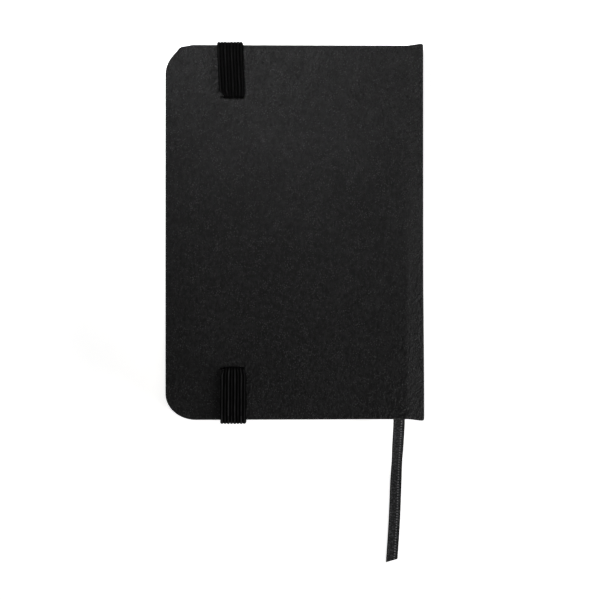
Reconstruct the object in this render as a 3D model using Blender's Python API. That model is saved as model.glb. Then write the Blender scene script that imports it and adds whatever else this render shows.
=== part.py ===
"""A pocket notebook with hard covers, an elastic band and a ribbon marker.

The closed notebook lies on its front cover, so its back cover faces up. +X points to the
spine, +Y to the head and +Z up. The origin is under the middle of the notebook, at the
level of the band's lowest face. All lengths are in metres.
"""

import math

import bmesh
import bpy
from mathutils import Vector

# Driving dimensions of the closed notebook.
COVER_WIDTH = 0.0740
COVER_HEIGHT = 0.1070
SPINE_OVERHANG = 0.0006
CORNER_RADIUS = 0.0078
SMALLEST_RADIUS = 0.0010
JOINT_WIDTH = 0.0059
SKIN = 0.00035
BOARD = 0.0012
GLUE_LINE = 0.0002
CLEARANCE = 0.0003
EDGE_SOFTENING = 0.0002
TURN_IN_WIDTH = 0.0030
PASTEDOWN = 0.00025

# The block of leaves.
SIGNATURE_COUNT = 10
SIGNATURE = 0.00055
SIGNATURE_GAP = 0.00015
RIBBON_GAP = 0.0006
RIBBON_AFTER_SIGNATURE = 5
SINGLE_LEAF = 0.00012
TURNING_LEAVES = 2
HEAD_SQUARE = 0.0010
FORE_EDGE_SQUARE = 0.0012
LEAF_CORNER_RADIUS = 0.0070
FOLD_X = 0.0342
FOLD_RADIUS = 0.0002

# The spine's layers, from the folds outwards.
THREAD_X = 0.03458
THREAD_RADIUS = 0.0001
THREAD_SWAY = 0.0008
THREAD_STATIONS = (-0.040, -0.014, 0.014, 0.040)
MULL_X = (0.0349, 0.0351)
MULL_HALF_HEIGHT = 0.045
RIBBON_ANCHOR_X = 0.0354
SPINE_STRIP_X = (0.0357, 0.0362)
SPINE_SKIN_X = (0.03665, 0.0370)
JOINT_CORNER_RADIUS = 0.0020

# The elastic band, across the corner side of both covers.
BAND_X = -0.0180
BAND_WIDTH = 0.00735
BAND_THICKNESS = 0.0009
BAND_BEND = 0.00075
BAND_LEG_BEND = 0.0005
BAND_END_WIDTH = 0.0068
BAND_END_THICKNESS = 0.0005
BAND_FOOT_LENGTH = 0.0090
SLOT_Y = 0.0388
SLOT_SIZE = (0.0080, 0.0015)
RECESS_DEPTH = 0.00087

# The ribbon marker.
RIBBON_WIDTH = 0.0033
RIBBON_THICKNESS = 0.00025
RIBBON_ANCHOR_LENGTH = 0.0140
RIBBON_HEAD_X = 0.0316
RIBBON_TAIL_X = 0.0299

# Levels that follow from the dimensions above, from the floor up.
COVER_THICKNESS = SKIN + GLUE_LINE + BOARD + GLUE_LINE + SKIN
FRONT_OUTER_Z = BAND_THICKNESS + CLEARANCE
FRONT_INNER_Z = FRONT_OUTER_Z + COVER_THICKNESS
FRONT_HINGE_Z = FRONT_INNER_Z + CLEARANCE / 2
FRONT_FLYLEAF_Z = FRONT_INNER_Z + CLEARANCE
BLOCK_BOTTOM_Z = FRONT_FLYLEAF_Z + SINGLE_LEAF + GLUE_LINE
BLOCK_HEIGHT = SIGNATURE_COUNT * SIGNATURE + (SIGNATURE_COUNT - 2) * SIGNATURE_GAP + RIBBON_GAP
BLOCK_TOP_Z = BLOCK_BOTTOM_Z + BLOCK_HEIGHT
LEAF_STEP = SINGLE_LEAF + GLUE_LINE
FIRST_LEAF_Z = BLOCK_TOP_Z + GLUE_LINE
BACK_FLYLEAF_Z = FIRST_LEAF_Z + TURNING_LEAVES * LEAF_STEP
BACK_INNER_Z = BACK_FLYLEAF_Z + SINGLE_LEAF + CLEARANCE
BACK_HINGE_Z = BACK_INNER_Z - CLEARANCE / 2
BACK_OUTER_Z = BACK_INNER_Z + COVER_THICKNESS
RIBBON_Z = (
    BLOCK_BOTTOM_Z
    + RIBBON_AFTER_SIGNATURE * SIGNATURE
    + (RIBBON_AFTER_SIGNATURE - 1) * SIGNATURE_GAP
    + RIBBON_GAP / 2
)

# Edges and hinge lines seen from above.
FORE_EDGE_X = -COVER_WIDTH / 2
SPINE_X = COVER_WIDTH / 2
COVER_SPINE_EDGE_X = SPINE_X - JOINT_WIDTH
HALF_HEIGHT = COVER_HEIGHT / 2
SPINE_HALF_HEIGHT = HALF_HEIGHT + SPINE_OVERHANG
LEAF_HALF_HEIGHT = HALF_HEIGHT - HEAD_SQUARE
LEAF_FORE_EDGE_X = FORE_EDGE_X + FORE_EDGE_SQUARE
HINGE_X = 0.0346

# The free end of the ribbon: out between the pages, down to the table and along it.
RIBBON_ROUTE = (
    (0.02990, -0.05280, 0.00777),
    (0.02986, -0.05510, 0.00752),
    (0.02975, -0.05760, 0.00655),
    (0.02960, -0.06060, 0.00450),
    (0.02943, -0.06400, 0.00230),
    (0.02925, -0.06770, 0.00078),
    (0.02906, -0.07200, 0.00026),
    (0.02888, -0.07700, 0.00020),
    (0.02864, -0.08250, 0.00020),
    (0.02832, -0.08800, 0.00020),
    (0.02788, -0.09435, 0.00020),
)
RIBBON_STEPS_PER_SPAN = 3

# How many straight pieces stand for a round corner, and for a bend of the band.
CORNER_STEPS = 6
BAND_STEPS = 4


def clear_scene():
    for obj in list(bpy.data.objects):
        bpy.data.objects.remove(obj, do_unlink=True)


def make_material(name, colour, roughness):
    material = bpy.data.materials.new(name)
    material.use_nodes = True
    shader = material.node_tree.nodes["Principled BSDF"]
    shader.inputs["Base Color"].default_value = (*colour, 1.0)
    shader.inputs["Roughness"].default_value = roughness
    shader.inputs["Metallic"].default_value = 0.0
    return material


def hinge_empty(name, location):
    """An empty on a joint's axis. The pieces that it moves are its children."""
    empty = bpy.data.objects.new(name, None)
    empty.empty_display_size = 0.01
    empty.location = location
    bpy.context.collection.objects.link(empty)
    return empty


def add_object(name, bm, material, hinge=None):
    """Turns a bmesh in the notebook's own coordinates into a named object."""
    bmesh.ops.recalc_face_normals(bm, faces=bm.faces)
    mesh = bpy.data.meshes.new(name)
    bm.to_mesh(mesh)
    bm.free()
    mesh.materials.append(material)
    obj = bpy.data.objects.new(name, mesh)
    bpy.context.collection.objects.link(obj)
    if hinge:
        obj.parent = hinge
        obj.location = -hinge.location
    return obj


def arc(centre, radius, start, end, steps):
    """Points on an arc, as (x, y), between two angles in degrees."""
    points = []
    for i in range(steps + 1):
        angle = math.radians(start + (end - start) * i / steps)
        points.append((centre[0] + radius * math.cos(angle), centre[1] + radius * math.sin(angle)))
    return points


def cover_outline(fore_x, spine_x, half_height, radius):
    """A cover's or leaf's outline: round corners at the fore-edge, square ones at the spine."""
    head = arc((fore_x + radius, half_height - radius), radius, 90, 180, CORNER_STEPS)
    tail = arc((fore_x + radius, radius - half_height), radius, 180, 270, CORNER_STEPS)
    return [*head, *tail, (spine_x, -half_height), (spine_x, half_height)]


def inset_outline(inset, spine_inset):
    """The cover's outline, drawn in by one amount all round and by another at the spine side."""
    return cover_outline(
        FORE_EDGE_X + inset,
        COVER_SPINE_EDGE_X - spine_inset,
        HALF_HEIGHT - inset,
        max(CORNER_RADIUS - inset, SMALLEST_RADIUS),
    )


def stacked_rings(rings):
    """A closed mesh through outlines with the same number of points, each at its own level."""
    bm = bmesh.new()
    rows = [[bm.verts.new((x, y, z)) for x, y in outline] for outline, z in rings]
    count = len(rows[0])
    for lower, upper in zip(rows, rows[1:]):
        for i in range(count):
            j = (i + 1) % count
            bm.faces.new((lower[i], lower[j], upper[j], upper[i]))
    bm.faces.new(rows[0])
    bm.faces.new(rows[-1])
    return bm


def swept_strip(path, across, width, thickness):
    """A flat strip along a path, with its width as near to the direction across as the path allows."""
    bm = bmesh.new()
    path = [Vector(p) for p in path]
    rows = []
    for i, point in enumerate(path):
        ahead = path[min(i + 1, len(path) - 1)]
        behind = path[max(i - 1, 0)]
        tangent = (ahead - behind).normalized()
        side = (across - tangent * across.dot(tangent)).normalized() * width / 2
        lift = tangent.cross(side).normalized() * thickness / 2
        corners = (point - side - lift, point + side - lift, point + side + lift, point - side + lift)
        rows.append([bm.verts.new(corner) for corner in corners])
    for row, following in zip(rows, rows[1:]):
        for i in range(4):
            j = (i + 1) % 4
            bm.faces.new((row[i], row[j], following[j], following[i]))
    bm.faces.new(rows[0])
    bm.faces.new(rows[-1])
    return bm


def extruded_profile(profile, half_height):
    """A profile in the X-Z plane, extruded along the spine."""
    bm = bmesh.new()
    tail = [bm.verts.new((x, -half_height, z)) for x, z in profile]
    head = [bm.verts.new((x, half_height, z)) for x, z in profile]
    for i in range(len(profile)):
        j = (i + 1) % len(profile)
        bm.faces.new((tail[i], tail[j], head[j], head[i]))
    bm.faces.new(tail)
    bm.faces.new(head)
    return bm


def rectangle(x_range, z_range):
    return [
        (x_range[0], z_range[0]),
        (x_range[1], z_range[0]),
        (x_range[1], z_range[1]),
        (x_range[0], z_range[1]),
    ]


def smooth_path(points, steps):
    """A Catmull-Rom curve through the points, with a number of steps to each span."""
    knots = [Vector(p) for p in points]
    knots = [2 * knots[0] - knots[1], *knots, 2 * knots[-1] - knots[-2]]
    path = []
    for a, b, c, d in zip(knots, knots[1:], knots[2:], knots[3:]):
        for i in range(steps):
            t = i / steps
            straight = 2 * b + (c - a) * t
            curved = (2 * a - 5 * b + 4 * c - d) * t**2 + (3 * b - a - 3 * c + d) * t**3
            path.append(0.5 * (straight + curved))
    path.append(knots[-2])
    return path


def cut_box(target, name, centre, size):
    """Cuts a box out of an object with a Boolean. The cutter stays as a hidden guide."""
    bm = bmesh.new()
    bmesh.ops.create_cube(bm, size=1.0)
    bmesh.ops.scale(bm, vec=size, verts=bm.verts)
    bmesh.ops.translate(bm, vec=centre, verts=bm.verts)
    cutter = add_object(name, bm, target.data.materials[0])
    cutter.hide_render = True
    cutter.display_type = "WIRE"
    boolean = target.modifiers.new(name, "BOOLEAN")
    boolean.operation = "DIFFERENCE"
    boolean.solver = "EXACT"
    boolean.object = cutter


def build_cover_skin(name, inner_z, outward, material, hinge):
    """The covering of one board: its outer face, its edges and the margin turned in on the inside."""
    outer_z = inner_z + outward * COVER_THICKNESS
    soft = EDGE_SOFTENING
    opening = inset_outline(TURN_IN_WIDTH, 2 * SKIN)
    cavity = inset_outline(SKIN, SKIN)
    rings = [
        (inset_outline(soft, soft), outer_z),
        (inset_outline(0.0, 0.0), outer_z - outward * soft),
        (inset_outline(0.0, 0.0), inner_z + outward * soft),
        (inset_outline(soft, soft), inner_z),
        (opening, inner_z),
        (opening, inner_z + outward * SKIN),
        (cavity, inner_z + outward * SKIN),
        (cavity, outer_z - outward * SKIN),
    ]
    return add_object(name, stacked_rings(rings), material, hinge)


def build_board(name, inner_z, outward, material, hinge):
    lowest = inner_z + outward * (SKIN + GLUE_LINE)
    outline = inset_outline(SKIN + GLUE_LINE, SKIN + GLUE_LINE)
    rings = [(outline, lowest), (outline, lowest + outward * BOARD)]
    return add_object(name, stacked_rings(rings), material, hinge)


def build_pastedown(name, inner_z, outward, material, hinge):
    """The endpaper that is glued to the board, inside the turned-in margin."""
    highest = inner_z + outward * SKIN
    outline = inset_outline(TURN_IN_WIDTH + CLEARANCE, 2 * SKIN + CLEARANCE)
    rings = [(outline, highest - outward * PASTEDOWN), (outline, highest)]
    return add_object(name, stacked_rings(rings), material, hinge)


def build_cover(side, inner_z, outward, materials, hinge):
    """One cover, as skin, board and pastedown. outward is 1 for up and -1 for down."""
    skin = build_cover_skin(f"{side}_cover_skin", inner_z, outward, materials["skin"], hinge)
    board = build_board(f"{side}_board", inner_z, outward, materials["board"], hinge)
    build_pastedown(f"{side}_pastedown", inner_z, outward, materials["paper"], hinge)
    return skin, board


def cut_band_slots(skin, board):
    """Two slots through the back cover, with a recess inside it for each end of the band."""
    middle_z = (BACK_INNER_Z + BACK_OUTER_Z) / 2
    board_inner_z = BACK_INNER_Z + SKIN + GLUE_LINE
    recess_length = BAND_FOOT_LENGTH + SLOT_SIZE[1]
    recess_size = (SLOT_SIZE[0], recess_length, 2 * RECESS_DEPTH)
    for end, sign in (("head", 1), ("tail", -1)):
        centre = (BAND_X, sign * SLOT_Y, middle_z)
        size = (*SLOT_SIZE, 2 * COVER_THICKNESS)
        skin_centre = (BAND_X, sign * SLOT_Y, BACK_OUTER_Z)
        cut_box(skin, f"skin_slot_{end}", skin_centre, (*SLOT_SIZE, COVER_THICKNESS))
        cut_box(board, f"board_slot_{end}", centre, size)
        recess_y = sign * (SLOT_Y + SLOT_SIZE[1] / 2 - recess_length / 2)
        cut_box(board, f"band_recess_{end}", (BAND_X, recess_y, board_inner_z), recess_size)


def leaf_outline():
    return cover_outline(LEAF_FORE_EDGE_X, FOLD_X, LEAF_HALF_HEIGHT, LEAF_CORNER_RADIUS)


def build_leaf(name, bottom_z, material, hinge):
    rings = [(leaf_outline(), bottom_z), (leaf_outline(), bottom_z + SINGLE_LEAF)]
    return add_object(name, stacked_rings(rings), material, hinge)


def build_signature(name, bottom_z, material):
    """A folded section of leaves. Its fold is a little narrower than its fore-edge."""
    folded = cover_outline(LEAF_FORE_EDGE_X, FOLD_X - FOLD_RADIUS, LEAF_HALF_HEIGHT, LEAF_CORNER_RADIUS)
    top_z = bottom_z + SIGNATURE
    rings = [
        (folded, bottom_z),
        (leaf_outline(), bottom_z + FOLD_RADIUS),
        (leaf_outline(), top_z - FOLD_RADIUS),
        (folded, top_z),
    ]
    return add_object(name, stacked_rings(rings), material)


def build_signatures(material):
    bottom_z = BLOCK_BOTTOM_Z
    for number in range(1, SIGNATURE_COUNT + 1):
        build_signature(f"signature_{number:02d}", bottom_z, material)
        gap = RIBBON_GAP if number == RIBBON_AFTER_SIGNATURE else SIGNATURE_GAP
        bottom_z += SIGNATURE + gap


def build_threads(material):
    """The link stitches that join the signatures along the folds, one row at each sewing station."""
    steps = 2 * SIGNATURE_COUNT
    lowest = BLOCK_BOTTOM_Z + SIGNATURE / 2
    rise = (BLOCK_HEIGHT - SIGNATURE) / steps
    for number, station in enumerate(THREAD_STATIONS, start=1):
        curve = bpy.data.curves.new(f"sewing_thread_{number}", "CURVE")
        curve.dimensions = "3D"
        curve.bevel_depth = THREAD_RADIUS
        curve.bevel_resolution = 1
        curve.render_resolution_u = 0
        curve.use_fill_caps = True
        spline = curve.splines.new("POLY")
        spline.points.add(steps)
        for i, point in enumerate(spline.points):
            sway = THREAD_SWAY / 2 * math.sin(i * math.pi / 2)
            point.co = (THREAD_X, station + sway, lowest + i * rise, 1.0)
        curve.materials.append(material)
        obj = bpy.data.objects.new(curve.name, curve)
        bpy.context.collection.objects.link(obj)


def build_spine(materials):
    """The gauze, the card strip and the covering that close the back of the block."""
    block_z = (BLOCK_BOTTOM_Z, BLOCK_TOP_Z)
    mull = extruded_profile(rectangle(MULL_X, block_z), MULL_HALF_HEIGHT)
    add_object("spine_mull", mull, materials["gauze"])
    card = extruded_profile(rectangle(SPINE_STRIP_X, block_z), HALF_HEIGHT)
    add_object("spine_strip", card, materials["board"])
    skin_z = (BLOCK_BOTTOM_Z - CLEARANCE, BLOCK_TOP_Z + CLEARANCE)
    skin = extruded_profile(rectangle(SPINE_SKIN_X, skin_z), SPINE_HALF_HEIGHT)
    add_object("spine_skin", skin, materials["skin"])


def build_joint_skin(name, outer_z, outward, end_z, material):
    """The flexible covering between one board and the spine, rounded over the spine's edge."""
    radius = JOINT_CORNER_RADIUS
    centre = (SPINE_X - radius, outer_z - outward * radius)
    start_x = COVER_SPINE_EDGE_X + CLEARANCE
    angles = (90 * outward, 0)
    outer = [(start_x, outer_z), *arc(centre, radius, *angles, CORNER_STEPS), (SPINE_X, end_z)]
    inner_arc = arc(centre, radius - SKIN, *reversed(angles), CORNER_STEPS)
    inner = [(SPINE_X - SKIN, end_z), *inner_arc, (start_x, outer_z - outward * SKIN)]
    add_object(name, extruded_profile(outer + inner, SPINE_HALF_HEIGHT), material)


def band_path(sign, profile):
    """A profile in the band's plane. A negative sign mirrors it to the tail."""
    return [(BAND_X, sign * y, z) for y, z in profile]


def build_band_in_back_cover(end, sign, materials, hinge):
    """One end of the band, glued in its recess, and the leg that runs on to the cover's edge."""
    foot_z = BACK_INNER_Z + SKIN + GLUE_LINE + BAND_END_THICKNESS / 2 + GLUE_LINE / 2
    bend = BAND_END_THICKNESS
    turn = arc((SLOT_Y - bend, foot_z + bend), bend, 0, -90, BAND_STEPS)
    end_profile = [(SLOT_Y, BACK_OUTER_Z), *turn, (SLOT_Y - BAND_FOOT_LENGTH, foot_z)]
    across = Vector((1, 0, 0))
    glued_end = swept_strip(band_path(sign, end_profile), across, BAND_END_WIDTH, BAND_END_THICKNESS)
    add_object(f"band_end_{end}", glued_end, materials["elastic"], hinge)
    leg_z = BACK_OUTER_Z + CLEARANCE + BAND_THICKNESS / 2
    rise_centre = (SLOT_Y + BAND_LEG_BEND, leg_z - BAND_LEG_BEND)
    rise = arc(rise_centre, BAND_LEG_BEND, 180, 90, BAND_STEPS)
    fall = arc((HALF_HEIGHT, leg_z - BAND_BEND), BAND_BEND, 90, 0, BAND_STEPS)
    leg = swept_strip(band_path(sign, [*rise, *fall]), across, BAND_WIDTH, BAND_THICKNESS)
    add_object(f"band_leg_{end}", leg, materials["elastic"], hinge)


def build_band_wrap(end, sign, materials, hinge):
    """The stretch of the band that crosses the head or the tail edge of the closed notebook."""
    y = HALF_HEIGHT + BAND_BEND
    lowest = BAND_THICKNESS / 2 + BAND_BEND + CLEARANCE
    highest = BACK_OUTER_Z + CLEARANCE + BAND_THICKNESS / 2 - BAND_BEND - CLEARANCE
    path = band_path(sign, [(y, highest), (y, lowest)])
    wrap = swept_strip(path, Vector((1, 0, 0)), BAND_WIDTH, BAND_THICKNESS)
    add_object(f"band_wrap_{end}", wrap, materials["elastic"], hinge)


def build_band_span(materials, hinge):
    """The stretch of the band that crosses the front cover and holds the notebook shut."""
    low_z = BAND_THICKNESS / 2
    bend = arc((HALF_HEIGHT, low_z + BAND_BEND), BAND_BEND, 0, -90, BAND_STEPS)
    tail_to_head = [(-y, z) for y, z in bend] + [(y, z) for y, z in reversed(bend)]
    path = band_path(1, tail_to_head)
    span = swept_strip(path, Vector((1, 0, 0)), BAND_WIDTH, BAND_THICKNESS)
    add_object("band_front_span", span, materials["elastic"], hinge)


def build_ribbon(materials):
    """The ribbon: glued on the spine, turned over the head, between the pages and out at the tail."""
    ribbon = materials["ribbon"]
    size = (RIBBON_WIDTH, RIBBON_THICKNESS)
    head_y = LEAF_HALF_HEIGHT + CLEARANCE
    anchor_y = (head_y - RIBBON_ANCHOR_LENGTH, head_y)
    anchor_path = [(RIBBON_ANCHOR_X, y, RIBBON_Z) for y in anchor_y]
    add_object("ribbon_anchor", swept_strip(anchor_path, Vector((0, 0, 1)), *size), ribbon)
    tail_y = RIBBON_ROUTE[0][1] + CLEARANCE
    page_path = [(RIBBON_HEAD_X, head_y, RIBBON_Z), (RIBBON_TAIL_X, tail_y, RIBBON_Z)]
    add_object("ribbon_in_pages", swept_strip(page_path, Vector((1, 0, 0)), *size), ribbon)
    tail_path = smooth_path(RIBBON_ROUTE, RIBBON_STEPS_PER_SPAN)
    add_object("ribbon_tail", swept_strip(tail_path, Vector((1, 0, 0)), *size), ribbon)


def build_leaves(materials):
    """The leaves that turn on their own: a flyleaf at each cover and the last leaves of the block."""
    paper = materials["paper"]
    front_hinge = hinge_empty("front_leaf_hinge", (HINGE_X, 0.0, FRONT_HINGE_Z))
    back_hinge = hinge_empty("back_leaves_hinge", (HINGE_X, 0.0, BACK_HINGE_Z))
    build_leaf("front_flyleaf", FRONT_FLYLEAF_Z, paper, front_hinge)
    for number in range(1, TURNING_LEAVES + 1):
        bottom_z = FIRST_LEAF_Z + (number - 1) * LEAF_STEP
        build_leaf(f"back_leaf_{number}", bottom_z, paper, back_hinge)
    build_leaf("back_flyleaf", BACK_FLYLEAF_Z, paper, back_hinge)


def build_covers(materials):
    front_hinge = hinge_empty("front_cover_hinge", (HINGE_X, 0.0, FRONT_HINGE_Z))
    back_hinge = hinge_empty("back_cover_hinge", (HINGE_X, 0.0, BACK_HINGE_Z))
    build_cover("front", FRONT_INNER_Z, -1, materials, front_hinge)
    back_skin, back_board = build_cover("back", BACK_INNER_Z, 1, materials, back_hinge)
    cut_band_slots(back_skin, back_board)
    front_end_z = BLOCK_BOTTOM_Z - 2 * CLEARANCE
    back_end_z = BLOCK_TOP_Z + 2 * CLEARANCE
    build_joint_skin("front_joint_skin", FRONT_OUTER_Z, -1, front_end_z, materials["skin"])
    build_joint_skin("back_joint_skin", BACK_OUTER_Z, 1, back_end_z, materials["skin"])
    return back_hinge


def build_band(materials, back_hinge):
    band_slide = hinge_empty("band_slide", (BAND_X, 0.0, BAND_THICKNESS / 2))
    for end, sign in (("head", 1), ("tail", -1)):
        build_band_in_back_cover(end, sign, materials, back_hinge)
        build_band_wrap(end, sign, materials, band_slide)
    build_band_span(materials, band_slide)


def make_materials():
    return {
        "skin": make_material("cover_skin", (0.016, 0.016, 0.017), 0.55),
        "board": make_material("board", (0.30, 0.26, 0.20), 0.90),
        "paper": make_material("paper", (0.82, 0.77, 0.64), 0.85),
        "gauze": make_material("gauze", (0.75, 0.73, 0.68), 0.90),
        "thread": make_material("thread", (0.80, 0.79, 0.75), 0.80),
        "elastic": make_material("elastic", (0.006, 0.006, 0.007), 0.80),
        "ribbon": make_material("ribbon", (0.026, 0.026, 0.027), 0.60),
    }


def main():
    clear_scene()
    materials = make_materials()
    build_signatures(materials["paper"])
    build_threads(materials["thread"])
    build_spine(materials)
    build_leaves(materials)
    back_hinge = build_covers(materials)
    build_band(materials, back_hinge)
    build_ribbon(materials)


main()
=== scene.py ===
"""The looks of a pocket notebook: its grained covers, sewn leaves, ribbed elastic band and ribbon."""

import math

import bmesh
import bpy
import numpy as np
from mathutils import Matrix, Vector, noise


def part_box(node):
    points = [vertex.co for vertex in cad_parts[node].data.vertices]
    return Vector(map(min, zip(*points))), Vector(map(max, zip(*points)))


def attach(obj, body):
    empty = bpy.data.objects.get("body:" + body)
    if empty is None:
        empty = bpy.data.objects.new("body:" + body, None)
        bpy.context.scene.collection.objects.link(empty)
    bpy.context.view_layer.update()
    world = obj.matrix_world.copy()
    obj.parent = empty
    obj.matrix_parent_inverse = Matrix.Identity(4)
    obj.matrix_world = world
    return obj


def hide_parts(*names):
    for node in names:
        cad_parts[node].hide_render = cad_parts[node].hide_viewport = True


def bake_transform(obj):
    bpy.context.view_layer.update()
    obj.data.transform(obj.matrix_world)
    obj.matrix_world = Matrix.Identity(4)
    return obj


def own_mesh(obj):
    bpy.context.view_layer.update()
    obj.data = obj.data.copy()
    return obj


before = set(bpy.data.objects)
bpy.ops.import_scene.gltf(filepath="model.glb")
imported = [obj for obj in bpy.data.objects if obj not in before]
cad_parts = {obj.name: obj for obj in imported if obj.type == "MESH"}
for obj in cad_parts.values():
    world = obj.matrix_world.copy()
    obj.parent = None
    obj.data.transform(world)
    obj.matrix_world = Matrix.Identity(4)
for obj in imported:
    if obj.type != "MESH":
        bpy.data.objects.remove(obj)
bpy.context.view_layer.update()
COVER_LOW, COVER_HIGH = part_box("back_cover_skin")


# The back cover's outer face points up and the front cover's points down.
UP = 1
DOWN = -1

# The side of the notebook's middle that each end is on, along Y.
ENDS = {"head": 1, "tail": -1}


# ---------------- sizes, in metres

CLEARANCE = 0.0003

# The covering, its edges and the margin that is turned in over the board.
SKIN = 0.00035
COVER_EDGE = 0.00045
FACE_BORDER = 0.0004
CORNER_RADIUS = 0.0078
TURN_IN = 0.0030

# The covering's corners at the fore-edge: radius along X, radius along Y, flattening, pleat.
HEAD_CORNER = (0.0080, 0.0080, 0.00034, 0.00048)
TAIL_CORNER = (0.0088, 0.0075, 0.0, 0.0)
PLEAT_PLACE = 0.30
PLEAT_SPREAD = 0.10

# The covering's lip round each slot.
LIP_RADIUS = 0.9 * SKIN
LIP_THROAT = 0.1 * SKIN
LIP_DEPTH = 1.05 * SKIN

# The joint between board and spine: flat, then a slope in degrees, then a round shoulder.
JOINT_FLAT = 0.0009
JOINT_SLOPE = 19.0
SPINE_SHOULDER = 0.0007

# The covering's ends at the spine, which run out past the boards.
HEAD_RISE = 0.00060
TAIL_RISE = 0.00045
FLARE_START = 0.0046
FLARE_END = 0.0006
SPINE_CORNER_RADIUS = 0.0006
SPINE_END_ROWS = 0.002

# The spine's edge leans in from the tail up to the middle.
SPINE_LEAN = 0.00028
LEAN_START_Y = -0.0495
LEAN_RUN = 0.045

# The covers are a hair taller at the fore-edge than at the spine.
HEAD_FORE_RISE = 0.00024
TAIL_SPINE_DROP = 0.00022

# The leaves, and the length over which each kind bends at the fold.
LEAF_CORNER_RADIUS = 0.0070
ENDPAPER_BEND = 0.0006
ENDPAPER_LEAST_RISE = 0.0002
FLYLEAF_BEND = 0.0004
LEAF_BEND = 0.0100

# A signature's folded sheets: how many, how thick, how closely they nest and how evenly they are cut.
SIGNATURES = 10
SHEETS_PER_SIGNATURE = 3
SHEET = 0.00008
SHEET_NESTING = 0.9
TRIM_SCATTER = 0.00006

# The ruled lines on the leaves and the margins that they stop at.
RULE_PITCH = 0.0060
RULE_HALF_WIDTH = 0.00009
RULE_MIDDLE_X = -0.0008
RULE_HALF_LENGTH = 0.0326
RULE_HEAD_Y = 0.0415
RULE_TAIL_Y = -0.0455
RULE_FADE = 0.0003

# The elastic band and its ribs, every second one a little lower.
BAND_WIDTH = 0.00735
BAND_THICKNESS = 0.0009
BAND_NECK_THICKNESS = 0.0006
BAND_RIBS = 8
RIB_STEPS = 6
RIB_ROUNDNESS = 0.6
LOW_RIB = 0.85
GROOVE_DEPTH = 0.00028
EDGE_THINNING = 0.55
EDGE_SQUARENESS = 12

# The band's way round the notebook.
BAND_BEND = 0.00070
BAND_JOIN_INSET = 0.0012
BAND_REST_DROP = 0.00022
LEG_TURN_MARGIN = 0.00015
LEG_TUCKED_IN = 0.0012

# At its slot the band thins, draws in towards the middle from each side, and rounds off.
NECK_START = 0.0010
NECK_LENGTH = 0.0018
GATHER_START = 0.0009
GATHER_LENGTH = 0.0026
BAND_GATHER = {"head": (0.0012, 0.0001), "tail": (0.0006, 0.0006)}
CORNER_TUCK = 0.0009
SLOT_PLAY = 0.00006

# How far the band stands off its line along the notebook, at its slots and at the covers' edges.
SLOT_LEAN = {"head": -0.00006, "tail": 0.00044}
EDGE_LEAN = {"head": -0.00056, "tail": 0.00034}

# The ribbon: its size, its cross-section as (across, lift) shares, and its cut end.
RIBBON_WIDTH = 0.0033
RIBBON_THICKNESS = 0.00022
RIBBON_SECTION = ((-0.5, 0.7), (-0.47, 1.0), (-0.40, 0.75), (-0.2, 0.7), (0.0, 0.7))
RIBBON_SLANT = 0.0006

# Its half twist: degrees, and where along the free end it is and how far it spreads.
RIBBON_TILT = 28
TILT_PLACE = 0.33
TILT_SPREAD = 0.14

# The free end's route, from between the pages down to the table and along it.
RIBBON_ROUTE = (
    (0.02990, -0.05280, 0.00777),
    (0.02986, -0.05510, 0.00752),
    (0.02975, -0.05760, 0.00655),
    (0.02960, -0.06060, 0.00450),
    (0.02943, -0.06400, 0.00230),
    (0.02925, -0.06770, 0.00078),
    (0.02906, -0.07200, 0.00026),
    (0.02888, -0.07700, 0.00020),
    (0.02864, -0.08250, 0.00020),
    (0.02832, -0.08800, 0.00020),
    (0.02788, -0.09435, 0.00020),
)

# The camera looks straight down, a little to the tail of the notebook's middle.
VIEW_CENTRE = Vector((0.00145, -0.0192, 0.0150))
VIEW_WIDTH = 0.1714
CAMERA_HEIGHT = 1.6
SENSOR_MM = 36.0

# The studio: its even light, the floor's own glow, and the lamps.
# Each lamp has a name, a place, a target, a size, a power in watts and a spread in degrees.
WORLD_LIGHT = 0.18
FLOOR_GLOW = 0.71
FLOOR_SIZE = 1.5
LIGHTS = (
    ("key", (-0.085, 0.125, 0.16), (-0.005, 0.062, 0.0), 0.10, 0.050, 46),
    ("fill", (0.30, -0.16, 0.12), (0.036, -0.03, 0.012), 0.20, 0.76, 180),
    ("side", (-0.80, -0.35, 0.60), (0.0, -0.01, 0.0), 0.9, 1.5, 180),
)


# ---------------- patterns

# How fine each pattern is, in cells per metre.
WANDER_SCALE = 900.0
PEBBLE_SCALE = 1500.0
SWELL_SCALE = 1250.0
PORE_SCALE = 1900.0
SPECK_SCALE = 2300.0
SPECK_PATCH_SCALE = 420.0
WORN_PATCH_SCALE = 60.0
CLOUD_SCALE = 240.0
PAPER_FIBRE_SCALE = 2600.0
BOARD_FIBRE_SCALE = 1500.0
BOARD_FLECK_SCALE = 900.0
FUZZ_SCALE = 2600.0
PILL_SCALE = 700.0
FLOOR_CLOUD_SCALE = 3.0

# How fast each thread's wave runs: radians per metre, and on a swept strip radians per millimetre.
GAUZE_RATE = 5200.0
COTTON_RATE = 14000.0
YARN_RATE = 17.0
WARP_RATE = 20.0
WEFT_RATE = 15.0
STITCHES_PER_MM = 1.30

# How far each surface's relief stands out, in metres, and how far the pebbles wander.
LEATHER_RELIEF = 0.00025
PAPER_RELIEF = 0.00002
BOARD_RELIEF = 0.00005
GAUZE_RELIEF = 0.00006
COTTON_RELIEF = 0.00003
ELASTIC_RELIEF = 0.00005
RIBBON_RELIEF = 0.00003
PEBBLE_WANDER = 0.0007


# ---------------- colours, linear

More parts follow.
